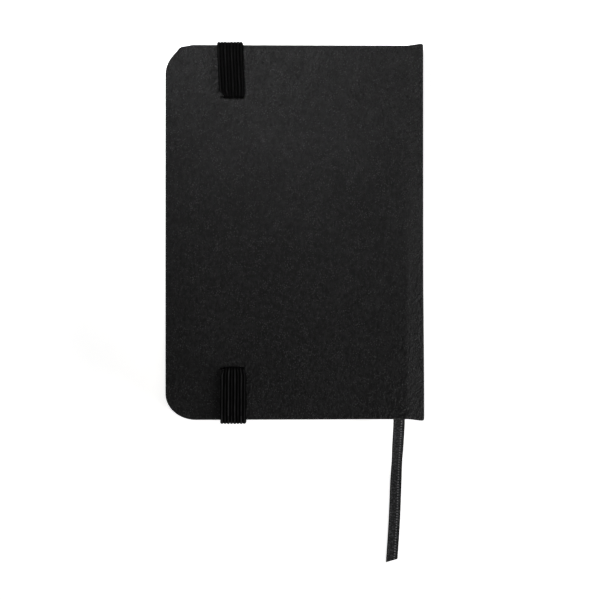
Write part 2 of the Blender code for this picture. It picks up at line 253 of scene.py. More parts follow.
LEATHER_BLACK = (0.0012, 0.0012, 0.0013)
LEATHER_WORN = (0.0105, 0.0105, 0.0109)
LEATHER_SPECK = (0.044, 0.044, 0.045)
ENDPAPER_IVORY = (0.80, 0.745, 0.61)
LEAF_IVORY = (0.83, 0.78, 0.65)
RULE_GREY = (0.30, 0.33, 0.36)
BOARD_DARK = (0.24, 0.21, 0.165)
BOARD_PALE = (0.36, 0.32, 0.26)
BOARD_FLECK = (0.15, 0.13, 0.10)
GAUZE_GLUE = (0.50, 0.46, 0.36)
GAUZE_THREAD = (0.80, 0.78, 0.72)
COTTON_SHADE = (0.62, 0.60, 0.54)
COTTON_PALE = (0.84, 0.82, 0.76)
# Painted highlight colour for the elastic's rib crests, over the darker ground below.
CREST_HIGHLIGHT_YARN = (0.0100, 0.0100, 0.0104)
# Both yarn colours are painted lighter towards the tail, as light on the tail leg.
CREST_HIGHLIGHT_YARN_TAILWARD_LIGHT = (0.0560, 0.0560, 0.0570)
YARN_GROUND = (0.0012, 0.0012, 0.0012)
YARN_GROUND_TAILWARD_LIGHT = (0.0040, 0.0040, 0.0041)
# Painted shade for the grooves between the elastic's ribs.
GROOVE_PAINTED_SHADE = (0.0002, 0.0002, 0.0002)
PILLED_YARN = (0.022, 0.022, 0.023)
RIBBON_SHADE = (0.007, 0.007, 0.0075)
RIBBON_LIT = (0.023, 0.023, 0.0245)
RIBBON_SLUB = (0.0045, 0.0045, 0.0048)
RIBBON_PALE_FLECK = (0.075, 0.075, 0.079)
RIBBON_DARK_FLECK = (0.002, 0.002, 0.0022)
RIBBON_SELVEDGE = (0.0022, 0.0022, 0.0024)
RIBBON_STITCH = (0.24, 0.24, 0.25)
FLOOR_SHADE = (0.93, 0.93, 0.93)
FLOOR_PALE = (0.95, 0.95, 0.95)


# ---------------- lines and curves


def smoothstep(t):
    """0 below 0, 1 above 1, and a soft rise between."""
    t = min(max(t, 0.0), 1.0)
    return t * t * (3.0 - 2.0 * t)


def mix(a, b, t):
    return a + (b - a) * t


def arc(centre, radius, start, end, steps):
    """Points on an arc between two angles in degrees."""
    angles = [math.radians(mix(start, end, i / steps)) for i in range(steps + 1)]
    return [(centre[0] + radius * math.cos(a), centre[1] + radius * math.sin(a)) for a in angles]


def catmull_rom(a, b, c, d, t):
    """A point on the smooth curve from b to c."""
    straight = 2 * b + (c - a) * t
    return 0.5 * (straight + (2 * a - 5 * b + 4 * c - d) * t**2 + (3 * b - a - 3 * c + d) * t**3)


def smooth_path(points, steps):
    """A smooth curve through the points, with some steps from each to the next."""
    knots = [Vector(p) for p in points]
    knots = [2 * knots[0] - knots[1], *knots, 2 * knots[-1] - knots[-2]]
    path = []
    for a, b, c, d in zip(knots, knots[1:], knots[2:], knots[3:]):
        path += [catmull_rom(a, b, c, d, i / steps) for i in range(steps)]
    return [*path, knots[-2]]


def path_lengths(path):
    """How far along the path each of its points is."""
    along = [0.0]
    for a, b in zip(path, path[1:]):
        along.append(along[-1] + (b - a).length)
    return along


def tangent_at(path, i):
    return (path[min(i + 1, len(path) - 1)] - path[max(i - 1, 0)]).normalized()


def offset_line(line, distance):
    """A line of (x, z) points moved sideways in its own plane."""
    moved = []
    for i, (x, z) in enumerate(line):
        ahead = line[min(i + 1, len(line) - 1)]
        behind = line[max(i - 1, 0)]
        run, rise = ahead[0] - behind[0], ahead[1] - behind[1]
        size = math.hypot(run, rise)
        moved.append((x - rise / size * distance, z + run / size * distance))
    return moved


def slab(x, rows, low_z, high_z):
    """A flat leaf's cross-section at one X: its lower side, then its upper side back again."""
    return [(x, y, low_z) for y in rows] + [(x, y, high_z) for y in reversed(rows)]


# ---------------- meshes


def ring(bm, outline, z):
    """A loop of vertices and its edges, at one level."""
    verts = [bm.verts.new((x, y, z)) for x, y in outline]
    for a, b in zip(verts, verts[1:] + verts[:1]):
        bm.edges.new((a, b))
    return verts


def bridge(bm, first, second):
    """Quads between two loops with the same number of vertices."""
    for i in range(len(first)):
        j = (i + 1) % len(first)
        bm.faces.new((first[i], first[j], second[j], second[i]))


def bridge_all(bm, loops):
    for first, second in zip(loops, loops[1:]):
        bridge(bm, first, second)


def fill_between(bm, *loops):
    """A flat face with holes: the first loop is its outside and the others are the holes."""
    edges = [bm.edges.get((a, b)) for loop in loops for a, b in zip(loop, loop[1:] + loop[:1])]
    bmesh.ops.triangle_fill(bm, use_beauty=True, edges=edges)


def tube_rows(bm, rows):
    """A closed body from cross-sections with the same number of points, capped at both ends."""
    loops = [[bm.verts.new(p) for p in row] for row in rows]
    bridge_all(bm, loops)
    bm.faces.new(loops[0])
    bm.faces.new(loops[-1])


def finish_mesh(name, bm, material, sharp_angle=40):
    """Turns a bmesh into a smooth-shaded object that remembers where each point is at rest."""
    bmesh.ops.recalc_face_normals(bm, faces=bm.faces)
    mesh = bpy.data.meshes.new(name)
    bm.to_mesh(mesh)
    bm.free()
    mesh.shade_smooth()
    mesh.set_sharp_from_angle(angle=math.radians(sharp_angle))
    rest = mesh.attributes.new("rest", "FLOAT_VECTOR", "POINT")
    places = np.array([v.co for v in mesh.vertices], np.float32)
    rest.data.foreach_set("vector", places.ravel())
    mesh.materials.append(material)
    obj = bpy.data.objects.new(name, mesh)
    bpy.context.scene.collection.objects.link(obj)
    return obj


def strip_coordinates(obj, rows_along, across):
    """A UV map in millimetres on a swept strip: across its width, and along it."""
    mesh = obj.data
    count = len(across)
    layer = mesh.uv_layers.new(name="strip")
    for loop in mesh.loops:
        row, column = divmod(loop.vertex_index, count)
        layer.data[loop.index].uv = (across[column] * 1000.0, rows_along[row] * 1000.0)


# ---------------- materials


class Shader:
    """A Principled material and short ways to add nodes to it."""

    def __init__(self, name, roughness=0.6, specular=0.5):
        self.material = bpy.data.materials.new(name)
        self.material.use_nodes = True
        self.nodes = self.material.node_tree.nodes
        self.links = self.material.node_tree.links
        self.principled = self.nodes["Principled BSDF"]
        self.principled.inputs["Roughness"].default_value = roughness
        self.principled.inputs["Specular IOR Level"].default_value = specular

    def node(self, kind, **settings):
        made = self.nodes.new(kind)
        for key, value in settings.items():
            setattr(made, key, value)
        return made

    def feed(self, socket, value):
        """Links another node's output into the socket, or sets the socket to a number."""
        if hasattr(value, "is_output"):
            self.links.new(value, socket)
        else:
            socket.default_value = value

    def rest_place(self):
        """Where the point is on the closed notebook, whatever the pose."""
        return self.node("ShaderNodeAttribute", attribute_name="rest").outputs["Vector"]

    def object_place(self):
        return self.node("ShaderNodeTexCoord").outputs["Object"]

    def strip_place(self):
        """Where the point is across and along a swept strip, in millimetres."""
        return self.node("ShaderNodeUVMap", uv_map="strip").outputs["UV"]

    def scaled(self, place, scale):
        mapping = self.node("ShaderNodeMapping")
        self.feed(mapping.inputs["Vector"], place)
        mapping.inputs["Scale"].default_value = scale
        return mapping.outputs["Vector"]

    def shifted(self, place, shift):
        made = self.node("ShaderNodeVectorMath", operation="ADD")
        self.feed(made.inputs[0], place)
        self.feed(made.inputs[1], shift)
        return made.outputs[0]

    def noise(self, place, scale, detail=2.0, roughness=0.5):
        made = self.node("ShaderNodeTexNoise")
        self.feed(made.inputs["Vector"], place)
        made.inputs["Scale"].default_value = scale
        made.inputs["Detail"].default_value = detail
        made.inputs["Roughness"].default_value = roughness
        return made.outputs["Fac"]

    def voronoi(self, place, scale, feature="F1"):
        made = self.node("ShaderNodeTexVoronoi", feature=feature)
        self.feed(made.inputs["Vector"], place)
        made.inputs["Scale"].default_value = scale
        return made.outputs["Distance"]

    def math(self, operation, a, b=0.0, c=0.0):
        made = self.node("ShaderNodeMath", operation=operation)
        for socket, value in zip(made.inputs, (a, b, c)):
            self.feed(socket, value)
        return made.outputs[0]

    def times(self, a, b):
        return self.math("MULTIPLY", a, b)

    def wave(self, value, rate):
        """A sine wave that runs along the value."""
        return self.math("SINE", self.times(value, rate))

    def distance(self, value, target):
        return self.math("ABSOLUTE", self.math("SUBTRACT", value, target))

    def weighted(self, *terms):
        """The sum of (value, weight) pairs."""
        total = 0.0
        for value, weight in terms:
            total = self.math("MULTIPLY_ADD", value, weight, total)
        return total

    def split(self, place):
        made = self.node("ShaderNodeSeparateXYZ")
        self.feed(made.inputs[0], place)
        return made.outputs

    def ramp(self, value, low, high, out_low=0.0, out_high=1.0):
        """Takes the value from the range low to high to another range, and stops at its ends."""
        made = self.node("ShaderNodeMapRange", clamp=True)
        for socket, number in zip(made.inputs, (value, low, high, out_low, out_high)):
            self.feed(socket, number)
        return made.outputs[0]

    def mixed(self, share, colour_a, colour_b):
        made = self.node("ShaderNodeMix", data_type="RGBA")
        self.feed(made.inputs[0], share)
        for socket, colour in ((made.inputs[6], colour_a), (made.inputs[7], colour_b)):
            self.feed(socket, colour if hasattr(colour, "is_output") else (*colour, 1.0))
        return made.outputs[2]

    def colour(self, value):
        self.feed(self.principled.inputs["Base Color"], value)

    def roughness(self, value):
        self.feed(self.principled.inputs["Roughness"], value)

    def bump(self, height, distance, strength=1.0):
        """Raises the surface by the height pattern, up to a distance in metres."""
        made = self.node("ShaderNodeBump")
        made.inputs["Strength"].default_value = strength
        made.inputs["Distance"].default_value = distance
        self.feed(made.inputs["Height"], height)
        self.feed(self.principled.inputs["Normal"], made.outputs["Normal"])


def leather_material():
    """Black coated covering: pebbles, swells and pores, worn high spots and tiny pale specks."""
    s = Shader("cover_leather", specular=0.20)
    place = s.rest_place()
    wander = s.times(s.noise(place, WANDER_SCALE), PEBBLE_WANDER)
    bent = s.shifted(s.scaled(place, (1.0, 0.8, 1.0)), wander)
    cells = s.voronoi(bent, PEBBLE_SCALE, "DISTANCE_TO_EDGE")
    pebbles = s.ramp(cells, 0.0, 0.30)
    swells = s.noise(s.scaled(place, (1.0, 0.62, 1.0)), SWELL_SCALE, 3.0, 0.6)
    pores = s.ramp(s.voronoi(place, PORE_SCALE), 0.06, 0.20)
    patches = s.noise(place, WORN_PATCH_SCALE, 3.0)
    dots = s.ramp(s.voronoi(s.scaled(place, (1.0, 0.7, 1.0)), SPECK_SCALE), 0.20, 0.34, 1.0, 0.0)
    specks = s.times(dots, s.ramp(s.noise(place, SPECK_PATCH_SCALE), 0.36, 0.60))
    worn = s.ramp(s.weighted((patches, 0.35), (swells, 1.0)), 0.60, 0.86)
    skin = s.mixed(worn, LEATHER_BLACK, LEATHER_WORN)
    s.colour(s.mixed(s.times(specks, 0.85), skin, LEATHER_SPECK))
    s.roughness(s.ramp(s.math("ADD", swells, patches), 0.8, 1.2, 0.36, 0.50))
    height = s.weighted((swells, 2.4), (pebbles, 0.45), (pores, 0.25), (specks, 0.4))
    s.bump(height, LEATHER_RELIEF)
    return s.material


def ruled_lines(s, place):
    """1 on a ruled line and 0 off it, within the leaf's margins."""
    x, y, _ = s.split(place)
    beat = s.math("PINGPONG", s.math("ADD", y, RULE_PITCH * 40), RULE_PITCH / 2)
    line = s.ramp(beat, RULE_HALF_WIDTH * 0.6, RULE_HALF_WIDTH * 1.4, 1.0, 0.0)
    side = s.distance(x, RULE_MIDDLE_X)
    inside = s.ramp(side, RULE_HALF_LENGTH, RULE_HALF_LENGTH + RULE_FADE, 1.0, 0.0)
    below_head = s.ramp(y, RULE_HEAD_Y, RULE_HEAD_Y + RULE_FADE, 1.0, 0.0)
    above_tail = s.ramp(y, RULE_TAIL_Y - RULE_FADE, RULE_TAIL_Y)
    return s.times(s.times(line, inside), s.times(below_head, above_tail))


def paper_material(name, colour, ruled):
    """Ivory paper: cloudy, faintly fibrous, with ruled lines where they are wanted."""
    s = Shader(name, roughness=0.86, specular=0.22)
    place = s.rest_place()
    clouds = s.noise(place, CLOUD_SCALE, 4.0)
    fibres = s.noise(s.scaled(place, (1.0, 3.2, 1.0)), PAPER_FIBRE_SCALE, 3.0)
    darker = tuple(c * 0.93 for c in colour)
    shade = s.mixed(s.ramp(s.weighted((fibres, 0.35), (clouds, 1.0)), 0.45, 0.95), darker, colour)
    if ruled:
        shade = s.mixed(s.times(ruled_lines(s, place), 0.55), shade, RULE_GREY)
    s.colour(shade)
    s.bump(fibres, PAPER_RELIEF, 0.35)
    return s.material


def board_material():
    """Grey-brown binder's board with pressed fibres and darker flecks."""
    s = Shader("binders_board", roughness=0.92, specular=0.2)
    place = s.object_place()
    fibres = s.noise(s.scaled(place, (0.4, 1.0, 2.0)), BOARD_FIBRE_SCALE, 4.0)
    flecks = s.ramp(s.voronoi(place, BOARD_FLECK_SCALE), 0.05, 0.18)
    s.colour(s.mixed(flecks, BOARD_FLECK, s.mixed(fibres, BOARD_DARK, BOARD_PALE)))
    s.bump(fibres, BOARD_RELIEF, 0.6)
    return s.material


def gauze_material():
    """Open-weave lining: two sets of threads crossing, with glue in the holes."""
    s = Shader("spine_gauze", roughness=0.9, specular=0.2)
    _, y, z = s.split(s.object_place())
    warp = s.math("ABSOLUTE", s.wave(y, GAUZE_RATE))
    weft = s.math("ABSOLUTE", s.wave(z, GAUZE_RATE))
    threads = s.math("MAXIMUM", warp, weft)
    s.colour(s.mixed(s.ramp(threads, 0.55, 0.85), GAUZE_GLUE, GAUZE_THREAD))
    s.bump(threads, GAUZE_RELIEF, 0.8)
    return s.material


def thread_material():
    """Twisted cotton thread."""
    s = Shader("sewing_cotton", roughness=0.8, specular=0.3)
    x, y, z = s.split(s.object_place())
    twist = s.wave(s.math("ADD", s.math("ADD", x, y), z), COTTON_RATE)
    s.colour(s.mixed(s.ramp(twist, -1.0, 1.0), COTTON_SHADE, COTTON_PALE))
    s.bump(twist, COTTON_RELIEF, 0.7)
    return s.material


def elastic_material(name, swept):
    """Black covered elastic. The swept band has its ribs in its shape, with fine yarns over them. Its rib
    crests carry a painted highlight, its grooves painted shade, and its colours are painted lighter towards
    the tail as light on the tail leg.
    """
    s = Shader(name, roughness=0.8, specular=0.03)
    place = s.rest_place() if swept else s.object_place()
    strip = s.strip_place() if swept else s.scaled(place, (1000.0, 1000.0, 1000.0))
    across, along, _ = s.split(strip)
    rib_pitch = BAND_WIDTH * 1000.0 / BAND_RIBS
    slant = s.math("PINGPONG", s.math("ADD", across, 50.0 * rib_pitch), rib_pitch / 2)
    yarns = s.wave(s.math("ADD", along, slant), YARN_RATE)
    ribs = s.wave(across, math.pi / rib_pitch)
    # Painted shade: the grooves between the ribs are darkened almost to black.
    groove_shade = s.ramp(s.math("ABSOLUTE", ribs), 0.25, 0.70, 1.0, 0.0)
    # Painted highlight on the rib crests: full on the high ribs, weaker on the low ones, varied by the yarn
    # wave and random patches.
    crest_highlight = s.math("MAXIMUM", s.ramp(ribs, 0.70, 0.98), s.ramp(ribs, -0.75, -0.98, 0.0, 0.40))
    fuzz = s.noise(place, FUZZ_SCALE, 3.0)
    pills = s.ramp(s.voronoi(place, PILL_SCALE), 0.05, 0.12, 1.0, 0.0)
    worn = s.ramp(s.noise(s.scaled(strip, (1.1, 0.22, 1.0)), 1.0), 0.35, 0.62, 0.35, 1.0)
    lit = s.times(s.ramp(yarns, -0.8, 0.8, 0.45, 1.0), worn)
    # Painted light: the band's colours grow lighter towards the tail, standing in for light on the tail
    # leg.
    tailward_light = s.ramp(s.split(place)[1], -0.030, 0.030, 1.0, 0.0)
    yarn = s.mixed(tailward_light, CREST_HIGHLIGHT_YARN, CREST_HIGHLIGHT_YARN_TAILWARD_LIGHT)
    ground = s.mixed(tailward_light, YARN_GROUND, YARN_GROUND_TAILWARD_LIGHT)
    shade = s.mixed(groove_shade, s.mixed(s.times(crest_highlight, lit), ground, yarn), GROOVE_PAINTED_SHADE)
    s.colour(s.mixed(s.times(pills, 0.30), shade, PILLED_YARN))
    s.roughness(s.ramp(fuzz, 0.3, 0.7, 0.66, 0.86))
    s.bump(s.weighted((fuzz, 0.6), (yarns, 1.0)), ELASTIC_RELIEF, 0.8)
    return s.material


def ribbon_material():
    """Charcoal satin ribbon: a fine uneven weave, dark selvedges and a row of pale stitches."""
    s = Shader("ribbon_weave", roughness=0.55, specular=0.25)
    strip = s.strip_place()
    across, along, _ = s.split(strip)
    half = RIBBON_WIDTH * 500.0
    weave = s.weighted((s.wave(across, WARP_RATE), 0.6), (s.wave(along, WEFT_RATE), 1.0))
    slub = s.noise(s.scaled(strip, (2.6, 0.9, 1.0)), 1.0, 3.0, 0.6)
    flecks = s.noise(s.scaled(strip, (1.5, 2.1, 1.0)), 1.0, 2.0, 0.7)
    cloth = s.mixed(s.ramp(weave, -1.2, 1.4), RIBBON_SHADE, RIBBON_LIT)
    cloth = s.mixed(s.ramp(slub, 0.35, 0.65, 0.55, 0.0), cloth, RIBBON_SLUB)
    cloth = s.mixed(s.ramp(flecks, 0.50, 0.66, 0.0, 0.9), cloth, RIBBON_PALE_FLECK)
    cloth = s.mixed(s.ramp(flecks, 0.36, 0.50, 0.80, 0.0), cloth, RIBBON_DARK_FLECK)
    selvedge = s.ramp(s.math("ABSOLUTE", across), half * 0.78, half * 0.92)
    cloth = s.mixed(selvedge, cloth, RIBBON_SELVEDGE)
    beat = s.distance(s.math("FRACT", s.times(along, STITCHES_PER_MM)), 0.5)
    row = s.ramp(s.distance(across, half * 0.42), 0.12, 0.24, 1.0, 0.0)
    stitches = s.times(row, s.ramp(beat, 0.15, 0.25, 1.0, 0.0))
    faint_row = s.ramp(s.distance(across, half * -0.72), 0.08, 0.18, 1.0, 0.0)
    stitches = s.math("MAXIMUM", stitches, s.times(faint_row, s.ramp(beat, 0.25, 0.35, 0.0, 0.30)))
    s.colour(s.mixed(s.times(stitches, s.ramp(slub, 0.30, 0.60, 0.45, 0.95)), cloth, RIBBON_STITCH))
    s.roughness(s.ramp(weave, -1.0, 1.0, 0.46, 0.66))
    s.bump(s.math("ADD", weave, stitches), RIBBON_RELIEF, 0.7)
    return s.material


def floor_material():
    """A pale matt sheet, lit a little from within so that it stays even."""
    s = Shader("pale_floor", roughness=0.9, specular=0.1)
    s.colour(s.mixed(s.noise(s.object_place(), FLOOR_CLOUD_SCALE), FLOOR_SHADE, FLOOR_PALE))
    s.principled.inputs["Emission Color"].default_value = (1.0, 1.0, 1.0, 1.0)
    s.principled.inputs["Emission Strength"].default_value = FLOOR_GLOW
    return s.material


# ---------------- covers


def taper(x, y):
    """How far the covers' ends stand out from square: a hair taller at the fore-edge."""
    share = min(max((x - COVER_LOW.x) / (COVER_HIGH.x - COVER_LOW.x), 0.0), 1.0)
    return HEAD_FORE_RISE * (1 - share) if y > 0 else TAIL_SPINE_DROP * share


def covering_corner(centre, shape, inset, start, steps=18):
    """A quarter turn of the covering's outline: an ellipse, flattened, with a pleat in it."""
    radius_x, radius_y, flattening, pleat = shape
    points = []
    for i in range(steps + 1):
        t = i / steps
        angle = math.radians(start + 90 * t)
        swell = pleat * math.exp(-(((t - PLEAT_PLACE) / PLEAT_SPREAD) ** 2))
        change = swell - flattening * math.sin(math.pi * t) - inset
        x = centre[0] + (radius_x + change) * math.cos(angle)
        y = centre[1] + (radius_y + change) * math.sin(angle)
        points.append((x, y))
    return points


def covering_outline(low, high, inset, spine_inset):
    """The outline of a cover's covering, drawn in all round."""
    head_centre = (low.x + HEAD_CORNER[0], high.y - HEAD_CORNER[1])
    tail_centre = (low.x + TAIL_CORNER[0], low.y + TAIL_CORNER[1])
    head = covering_corner(head_centre, HEAD_CORNER, inset, 90)
    tail = covering_corner(tail_centre, TAIL_CORNER, inset, 180)
    spine_x = high.x - spine_inset
    outline = [*head, *tail, (spine_x, low.y + inset), (spine_x, high.y - inset)]
    return [(x, y + taper(x, y) * min(abs(y) / high.y, 1.0)) for x, y in outline]


def rounded_edge(inner_z, outer_z, outward, steps=6):
    """(inset, level) pairs round a cover's edge, from its outer face to its inner face."""
    outer = arc((COVER_EDGE, -COVER_EDGE), COVER_EDGE, 90, 180, steps)
    inner = arc((COVER_EDGE, COVER_EDGE), COVER_EDGE, 180, 270, steps)
    edge = [(inset, outer_z + outward * rise) for inset, rise in outer]
    return edge + [(inset, inner_z + outward * rise) for inset, rise in inner]


def slot_outline(slot, grow, steps=5):
    """A slot's outline with round ends, grown by a margin."""
    (x, y), half_x, half_y = slot
    radius = half_y + grow
    right = arc((x + half_x - half_y, y), radius, -90, 90, steps)
    left = arc((x - half_x + half_y, y), radius, 90, 270, steps)
    return [*right, *left]


def slot_lip(bm, slot, outer_z, outward):
    """The covering as it turns down into a slot, from the slot's mouth to its throat."""
    lip = [(SKIN + FACE_BORDER, 0.0), *arc((SKIN, -SKIN), LIP_RADIUS, 90, 180, 4), (LIP_THROAT, -LIP_DEPTH)]
    loops = [ring(bm, slot_outline(slot, grow), outer_z + outward * rise) for grow, rise in lip]
    bridge_all(bm, loops)
    return loops[0], loops[-1]


def build_cover_covering(side, outward, material, slots):
    """The covering of one board: outer face, rounded edges, turned-in margin and the board's pocket."""
    low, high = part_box(f"{side}_cover_skin")
    outer_z, inner_z = (high.z, low.z) if outward == UP else (low.z, high.z)
    border = COVER_EDGE + FACE_BORDER
    rings = [(border, 0.0, outer_z)]
    rings += [(inset, 0.0, z) for inset, z in rounded_edge(inner_z, outer_z, outward)]
    rings += [
        (border, 0.0, inner_z),
        (TURN_IN, 2 * SKIN, inner_z),
        (TURN_IN, 2 * SKIN, inner_z + outward * SKIN),
        (SKIN, SKIN, inner_z + outward * SKIN),
        (SKIN, SKIN, outer_z - outward * SKIN),
    ]
    bm = bmesh.new()
    loops = [ring(bm, covering_outline(low, high, inset, spine), z) for inset, spine, z in rings]
    bridge_all(bm, loops)
    lips = [slot_lip(bm, slot, outer_z, outward) for slot in slots]
    fill_between(bm, loops[0], *[mouth for mouth, _ in lips])
    fill_between(bm, loops[-1], *[throat for _, throat in lips])
    covering = finish_mesh(f"{side}_covering", bm, material)
    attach(covering, f"{side}_cover")
    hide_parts(f"{side}_cover_skin")


def joint_profile(side, outward):
    """The joint's outer line: flat beside the board, down a slope, then round to the spine's wall."""
    skin_low, skin_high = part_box(f"{side}_cover_skin")
    spine_low, spine_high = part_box("spine_skin")
    spine_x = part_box(f"{side}_joint_skin")[1].x
    outer_z = skin_high.z if outward == UP else skin_low.z
    end_z = spine_high.z + CLEARANCE / 2 if outward == UP else spine_low.z - CLEARANCE / 2
    slope = math.radians(JOINT_SLOPE)
    start_x = skin_high.x
    bend_x = start_x + JOINT_FLAT
    turn_x = spine_x - SPINE_SHOULDER
    reach = turn_x + SPINE_SHOULDER * math.sin(slope) - bend_x
    depth = reach * math.tan(slope)
    flat = [(start_x, 0.0), (start_x + JOINT_FLAT / 2, 0.0)]
    fall = [(bend_x + reach * t, depth * t * smoothstep(5 * t + 0.3)) for t in np.linspace(0, 1, 13)]
    turn_centre = (turn_x, depth + SPINE_SHOULDER * math.cos(slope))
    turn = arc(turn_centre, SPINE_SHOULDER, JOINT_SLOPE - 90, 0, 9)[1:]
    wall = [(spine_x, drop) for drop in np.linspace(turn[-1][1], abs(outer_z - end_z), 4)[1:]]
    return [(x, outer_z - outward * drop) for x, drop in [*flat, *fall, *turn, *wall]]


def end_shift(x, y, high_x):
    """The covering's ends run past the boards towards the spine, and are rounded at its corners."""
    rise = HEAD_RISE if y > 0 else TAIL_RISE
    share = smoothstep((x - high_x + FLARE_START) / (FLARE_START - FLARE_END))
    into_corner = max(x - high_x + SPINE_CORNER_RADIUS, 0.0) / SPINE_CORNER_RADIUS
    rounding = SPINE_CORNER_RADIUS * (1 - math.sqrt(1 - min(into_corner, 1.0) ** 2))
    return rise * share - rounding


def spine_lean(x, y, start_x, high_x):
    """The spine's edge leans in a little from the tail to the middle, and is straight from there on."""
    across = smoothstep((x - start_x) / (high_x - start_x))
    return SPINE_LEAN * across * smoothstep((y - LEAN_START_Y) / LEAN_RUN)


def extruded_skin(name, outer, inner, half_height, material, start_x, high_x):
    """A thin covering along the spine, between two lines in the XZ plane, with soft rolled ends."""
    roll = SKIN / 2
    end = [(roll * (1 - math.cos(a)) - half_height, math.sin(a)) for a in np.linspace(0.25, math.pi / 2, 5)]
    reach = half_height - SPINE_END_ROWS
    middle = [(y, 1.0) for y in np.linspace(-reach, reach, 23)]
    pairs = [*zip(outer, inner), *zip(inner[::-1], outer[::-1])]
    sections = []
    for y, width in [*end, *middle, *[(-y, width) for y, width in reversed(end)]]:
        share = y / half_height
        section = []
        for (x, z), (other_x, other_z) in pairs:
            px = mix((x + other_x) / 2, x, width)
            pz = mix((z + other_z) / 2, z, width)
            py = y + share * end_shift(px, y, high_x) + abs(share) * taper(px, y)
            section.append((px - spine_lean(px, y, start_x, high_x), py, pz))
        sections.append(section)
    bm = bmesh.new()
    tube_rows(bm, sections)
    return finish_mesh(name, bm, material, sharp_angle=50)


def build_joint(side, outward, material):
    """The flexible covering between board and spine."""
    high_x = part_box(f"{side}_joint_skin")[1].x
    cover_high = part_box(f"{side}_cover_skin")[1]
    outer = joint_profile(side, outward)
    inner = offset_line(outer, -outward * SKIN)
    inner[0] = (outer[0][0], inner[0][1])
    joint = extruded_skin(f"{side}_joint", outer, inner, cover_high.y, material, outer[0][0], high_x)
    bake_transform(joint)
    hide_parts(f"{side}_joint_skin")


def build_spine(material):
    """The covering over the spine, upright between the two joints."""
    low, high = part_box("spine_skin")
    levels = np.linspace(low.z - CLEARANCE / 2, high.z + CLEARANCE / 2, 9)
    outer = [(high.x, z) for z in levels]
    inner = [(low.x, z) for z in levels]
    spine = extruded_skin("spine_covering", outer, inner, COVER_HIGH.y, material, COVER_HIGH.x, high.x)
    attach(spine, "block")
    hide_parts("spine_skin")


def build_endpaper(side, material):
    """The pasted-down endpaper, which runs on from the board to the fold at the block."""
    low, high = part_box(f"{side}_pastedown")
    fold_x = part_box("signature_01")[1].x
    bend_x = fold_x - ENDPAPER_BEND
    radius = CORNER_RADIUS - TURN_IN
    corner = [low.x + radius * (1 - math.cos(a)) for a in np.linspace(0, math.pi / 2, 10)]
    straight = list(np.linspace(low.x + radius, bend_x, 14))[1:]
    bend = list(np.linspace(bend_x, fold_x, 9))[1:]
    sections = []
    for x in corner + straight + bend:
        depth = max(low.x + radius - x, 0.0)
        rise = math.sqrt(max(radius**2 - depth**2, 0.0))
        half = high.y - radius + max(rise, ENDPAPER_LEAST_RISE)
        sections.append(slab(x, list(np.linspace(-half, half, 9)), low.z, high.z))
    bm = bmesh.new()
    tube_rows(bm, sections)
    paper = finish_mesh(f"{side}_endpaper", bm, material, sharp_angle=30)
    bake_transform(paper)
    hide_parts(f"{side}_pastedown")


# ---------------- leaves


def leaf_half_height(x, low, high):
    """A leaf's half height at x, with its round fore-edge corners."""
    depth = max(low.x + LEAF_CORNER_RADIUS - x, 0.0)
    drop = LEAF_CORNER_RADIUS - math.sqrt(max(LEAF_CORNER_RADIUS**2 - depth**2, 0.0))
    return high.y - drop


def corner_stations(fore_x, first_angle, count):
    """The X of a leaf's columns across its round corners."""
    angles = np.linspace(first_angle, math.pi / 2, count)
    return [fore_x + LEAF_CORNER_RADIUS * (1 - math.cos(a)) for a in angles]


def leaf_stations(low, fold_x, bend_length):
    """The X of a turning leaf's columns, close together at the round corners and near the fold."""
    flat = list(np.linspace(low.x + LEAF_CORNER_RADIUS, fold_x - bend_length, 8))[1:]
    bend = list(np.linspace(fold_x - bend_length, fold_x, 15))[1:]
    return corner_stations(low.x, 0.12, 10) + flat + bend


def sheet_stations(fore_x, fold_x):
    """The X of a sewn sheet's columns. It stays flat, so it needs few."""
    corner = corner_stations(fore_x, 0.14, 8)
    return [*corner, mix(corner[-1], fold_x, 0.5), fold_x]


def build_turning_leaf(name, material, bend_length):
    """A leaf that turns, built flat, with its columns close together near the fold."""
    low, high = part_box(name)
    sections = []
    for x in leaf_stations(low, high.x, bend_length):
        half = leaf_half_height(x, low, high)
        sections.append(slab(x, list(np.linspace(-half, half, 9)), low.z, high.z))
    bm = bmesh.new()
    tube_rows(bm, sections)
    leaf = finish_mesh(f"{name}_paper", bm, material, sharp_angle=30)
    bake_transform(leaf)
    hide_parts(name)


def sheet_centreline(low, high, number, trim):
    """A folded sheet seen from its end: out along the lower leaf, round the fold and back."""
    middle_z = (low.z + high.z) / 2
    pitch = (high.z - low.z) / (2 * SHEETS_PER_SIGNATURE)
    reach = pitch * (number + 0.5)
    outer_sheets = SHEETS_PER_SIGNATURE - 1 - number
    fold_x = high.x - pitch * outer_sheets * SHEET_NESTING - reach - SHEET / 2
    stations = sheet_stations(low.x + trim, fold_x)
    lower = [(x, middle_z - reach) for x in stations]
    fold = arc((fold_x, middle_z), reach, -90, 90, 6)
    upper = [(x, middle_z + reach) for x in reversed(stations)]
    return [*lower, *fold[1:-1], *upper]


def build_signature(number, material):
    """A signature: folded sheets nested one in another, each trimmed a hair differently."""
    name = f"signature_{number:02d}"
    low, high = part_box(name)
    bm = bmesh.new()
    for sheet in range(SHEETS_PER_SIGNATURE):
        scatter = noise.noise(Vector((number * 3.7, sheet * 1.9, 0.4)))
        trim = TRIM_SCATTER * (0.5 + 0.5 * scatter)
        line = sheet_centreline(low, high, sheet, trim)
        top, bottom = offset_line(line, SHEET / 2), offset_line(line, -SHEET / 2)
        sections = []
        for (x, _), above, below in zip(line, top, bottom):
            half = leaf_half_height(x, low, high) - trim
            rows = [-half, -half / 2, 0.0, half / 2, half]
            section = [(above[0], y, above[1]) for y in rows]
            section += [(below[0], y, below[1]) for y in reversed(rows)]
            sections.append(section)
        tube_rows(bm, sections)
    signature = finish_mesh(f"{name}_sheets", bm, material, sharp_angle=35)
    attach(signature, "block")
    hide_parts(name)


# ---------------- band


